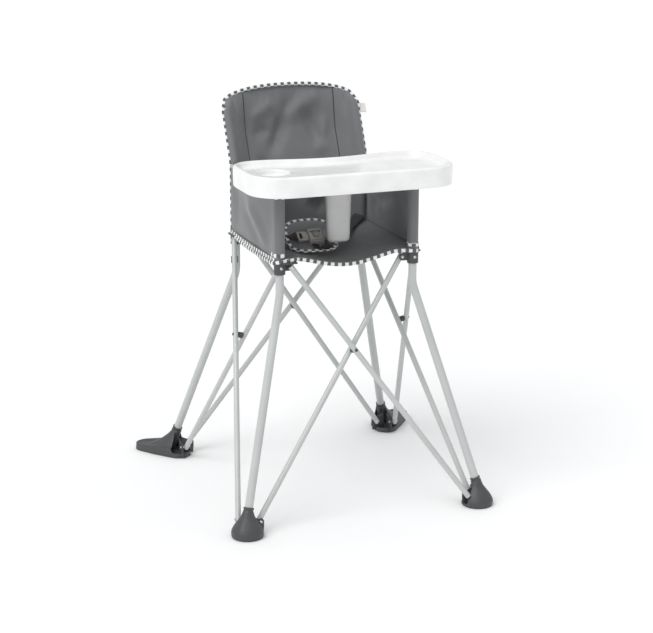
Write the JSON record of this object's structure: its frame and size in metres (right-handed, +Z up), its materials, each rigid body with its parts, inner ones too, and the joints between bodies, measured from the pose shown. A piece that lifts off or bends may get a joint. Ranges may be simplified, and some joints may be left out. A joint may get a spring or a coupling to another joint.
{
  "type": "folding baby high chair",
  "caption": "Portable folding high chair: sling seat on a scissor frame with splayed legs, waist harness and lift-off tray with centre post.",
  "frame": {"origin": "on the floor, under the middle of the chair's bounding box", "axes": "+Z up, -Y the way the child faces, +X to the right as seen from the front"},
  "size_m": [0.7448, 0.7026, 0.9305],
  "materials": {
    "panel_fabric": "woven polyester, matte",
    "tag_cloth": "printed satin label, left blank",
    "webbing": "woven polypropylene webbing",
    "buckle_plastic": "moulded, fine texture",
    "steel": "zinc plated",
    "dark_plastic": "moulded nylon",
    "tube_paint": "light grey powder coat, semi-gloss",
    "post_plastic": "moulded, satin",
    "tray_plastic": "moulded, gloss",
    "gingham_binding": "grey and white check tape"
  },
  "bodies": {
    "seat_sling": {"seat_panel": "panel_fabric", "back_panel": "panel_fabric", "side_panel_left": "panel_fabric", "side_panel_right": "panel_fabric", "front_sleeve_left": "panel_fabric", "front_sleeve_right": "panel_fabric", "side_tag": "tag_cloth", "crotch_pad": "panel_fabric", "waist_strap_left": "webbing", "waist_strap_right": "webbing"},
    "hub_front_left": {"hub_front_left": "dark_plastic", "hub_fasteners_front_left": "steel"},
    "leg_front_left": {"leg_front_left": "tube_paint", "leg_cap_front_left": "dark_plastic", "foot_front_left": "dark_plastic"},
    "hub_front_right": {"hub_front_right": "dark_plastic", "hub_fasteners_front_right": "steel"},
    "leg_front_right": {"leg_front_right": "tube_paint", "leg_cap_front_right": "dark_plastic", "foot_front_right": "dark_plastic"},
    "hub_rear_right": {"hub_rear_right": "dark_plastic", "hub_fasteners_rear_right": "steel"},
    "leg_rear_right": {"leg_rear_right": "tube_paint", "leg_cap_rear_right": "dark_plastic", "foot_rear_right": "dark_plastic"},
    "hub_rear_left": {"hub_rear_left": "dark_plastic", "hub_fasteners_rear_left": "steel"},
    "leg_rear_left": {"leg_rear_left": "tube_paint", "leg_cap_rear_left": "dark_plastic", "foot_rear_left": "dark_plastic"},
    "tube_front_outer": {"tube_front_outer": "tube_paint", "rivets_front_outer": "steel"},
    "tube_front_inner": {"tube_front_inner": "tube_paint", "rivets_front_inner": "steel"},
    "tube_right_outer": {"tube_right_outer": "tube_paint", "rivets_right_outer": "steel"},
    "tube_right_inner": {"tube_right_inner": "tube_paint", "rivets_right_inner": "steel"},
    "tube_back_outer": {"tube_back_outer": "tube_paint", "rivets_back_outer": "steel"},
    "tube_back_inner": {"tube_back_inner": "tube_paint", "rivets_back_inner": "steel", "tube_clip_back": "dark_plastic"},
    "tube_left_outer": {"tube_left_outer": "tube_paint", "rivets_left_outer": "steel", "tube_clip_left": "dark_plastic"},
    "tube_left_inner": {"tube_left_inner": "tube_paint", "rivets_left_inner": "steel"},
    "buckle": {"buckle_socket": "buckle_plastic", "crotch_strap": "webbing"},
    "release_button": {"buckle_button": "buckle_plastic"},
    "prong_left": {"buckle_prong_left": "buckle_plastic"},
    "adjuster_left": {"strap_adjuster_left": "buckle_plastic"},
    "prong_right": {"buckle_prong_right": "buckle_plastic"},
    "adjuster_right": {"strap_adjuster_right": "buckle_plastic"},
    "tray": {"tray_top": "tray_plastic", "tray_post": "post_plastic", "tray_cradles": "tray_plastic", "tray_screws": "steel"}
  },
  "joints": [
    {"name": "fold", "type": "hinge", "parent": "seat_sling", "child": "hub_front_left", "pos_m": [-0.11809, -0.14986, 1.36], "axis": [0.7071, -0.7071, 0], "range_deg": [0, 9], "deforming": ["seat_panel", "back_panel", "side_panel_left", "side_panel_right", "front_sleeve_left", "front_sleeve_right", "crotch_pad", "waist_strap_left", "waist_strap_right"]},
    {"name": "slide_leg_front_left", "type": "slide", "parent": "hub_front_left", "child": "leg_front_left", "axis": [0, 0, -1], "range_m": [0, 0.1]},
    {"name": "fold_front_right", "type": "hinge", "parent": "seat_sling", "child": "hub_front_right", "pos_m": [0.11809, -0.14986, 1.36], "axis": [0.7071, 0.7071, 0], "range_deg": [0, 9]},
    {"name": "slide_leg_front_right", "type": "slide", "parent": "hub_front_right", "child": "leg_front_right", "axis": [0, 0, -1], "range_m": [0, 0.1]},
    {"name": "fold_rear_right", "type": "hinge", "parent": "seat_sling", "child": "hub_rear_right", "pos_m": [0.11809, 0.08631, 1.36], "axis": [-0.7071, 0.7071, 0], "range_deg": [0, 9]},
    {"name": "slide_leg_rear_right", "type": "slide", "parent": "hub_rear_right", "child": "leg_rear_right", "axis": [0, 0, -1], "range_m": [0, 0.1]},
    {"name": "fold_rear_left", "type": "hinge", "parent": "seat_sling", "child": "hub_rear_left", "pos_m": [-0.11809, 0.08631, 1.36], "axis": [-0.7071, -0.7071, 0], "range_deg": [0, 9]},
    {"name": "slide_leg_rear_left", "type": "slide", "parent": "hub_rear_left", "child": "leg_rear_left", "axis": [0, 0, -1], "range_m": [0, 0.1]},
    {"name": "pivot_tube_front_outer", "type": "hinge", "parent": "hub_front_left", "child": "tube_front_outer", "pos_m": [-0.1365, -0.20528, 0.58], "axis": [0, 1, 0], "range_deg": [0, 29.6]},
    {"name": "pivot_tube_front_inner", "type": "hinge", "parent": "hub_front_right", "child": "tube_front_inner", "pos_m": [0.1365, -0.18128, 0.58], "axis": [0, -1, 0], "range_deg": [0, 29.6]},
    {"name": "pivot_tube_right_outer", "type": "hinge", "parent": "hub_front_right", "child": "tube_right_outer", "pos_m": [0.1735, -0.16828, 0.58], "axis": [-1, 0, 0], "range_deg": [0, 29.6]},
    {"name": "pivot_tube_right_inner", "type": "hinge", "parent": "hub_rear_right", "child": "tube_right_inner", "pos_m": [0.1495, 0.10472, 0.58], "axis": [1, 0, 0], "range_deg": [0, 29.6]},
    {"name": "pivot_tube_back_outer", "type": "hinge", "parent": "hub_rear_right", "child": "tube_back_outer", "pos_m": [0.1365, 0.14172, 0.58], "axis": [0, -1, 0], "range_deg": [0, 29.6]},
    {"name": "pivot_tube_back_inner", "type": "hinge", "parent": "hub_rear_left", "child": "tube_back_inner", "pos_m": [-0.1365, 0.11772, 0.58], "axis": [0, 1, 0], "range_deg": [0, 29.6]},
    {"name": "pivot_tube_left_outer", "type": "hinge", "parent": "hub_rear_left", "child": "tube_left_outer", "pos_m": [-0.1735, 0.10472, 0.58], "axis": [1, 0, 0], "range_deg": [0, 29.6]},
    {"name": "pivot_tube_left_inner", "type": "hinge", "parent": "hub_front_left", "child": "tube_left_inner", "pos_m": [-0.1495, -0.16828, 0.58], "axis": [-1, 0, 0], "range_deg": [0, 29.6]},
    {"name": "buckle_drift", "type": "slide", "parent": "seat_sling", "child": "buckle", "axis": [0.7979, 0.6028, 0], "range_m": [0, 0.0571]},
    {"name": "press_button", "type": "slide", "parent": "buckle", "child": "release_button", "axis": [0, 0.6428, -0.766], "range_m": [0, 0.0022], "stiffness_N_per_m": 400},
    {"name": "unclip_left", "type": "slide", "parent": "buckle", "child": "prong_left", "axis": [-1, 0, 0], "range_m": [0, 0.03], "deforming": ["waist_strap_left"]},
    {"name": "adjust_left", "type": "slide", "parent": "buckle", "child": "adjuster_left", "axis": [-0.2023, 0.9769, -0.0691], "range_m": [0, 0.036]},
    {"name": "unclip_right", "type": "slide", "parent": "buckle", "child": "prong_right", "axis": [1, 0, 0], "range_m": [0, 0.03], "deforming": ["waist_strap_right"]},
    {"name": "adjust_right", "type": "slide", "parent": "buckle", "child": "adjuster_right", "axis": [0.5624, 0.8248, -0.0583], "range_m": [0, 0.045]},
    {"name": "lift_tray", "type": "slide", "parent": "seat_sling", "child": "tray", "axis": [0, 0, 1], "range_m": [0, 0.25]}
  ],
  "couplings": [
    {"joint": "slide_leg_front_left", "follows": "fold", "m_per_rad": 0.63407},
    {"joint": "fold_front_right", "follows": "fold", "ratio": 1},
    {"joint": "slide_leg_front_right", "follows": "fold", "m_per_rad": 0.63407},
    {"joint": "fold_rear_right", "follows": "fold", "ratio": 1},
    {"joint": "slide_leg_rear_right", "follows": "fold", "m_per_rad": 0.63407},
    {"joint": "fold_rear_left", "follows": "fold", "ratio": 1},
    {"joint": "slide_leg_rear_left", "follows": "fold", "m_per_rad": 0.63407},
    {"joint": "pivot_tube_front_outer", "follows": "fold", "ratio": 3.2778},
    {"joint": "pivot_tube_front_inner", "follows": "fold", "ratio": 3.2778},
    {"joint": "pivot_tube_right_outer", "follows": "fold", "ratio": 3.2778},
    {"joint": "pivot_tube_right_inner", "follows": "fold", "ratio": 3.2778},
    {"joint": "pivot_tube_back_outer", "follows": "fold", "ratio": 3.2778},
    {"joint": "pivot_tube_back_inner", "follows": "fold", "ratio": 3.2778},
    {"joint": "pivot_tube_left_outer", "follows": "fold", "ratio": 3.2778},
    {"joint": "pivot_tube_left_inner", "follows": "fold", "ratio": 3.2778},
    {"joint": "buckle_drift", "follows": "fold", "m_per_rad": 0.35906}
  ]
}
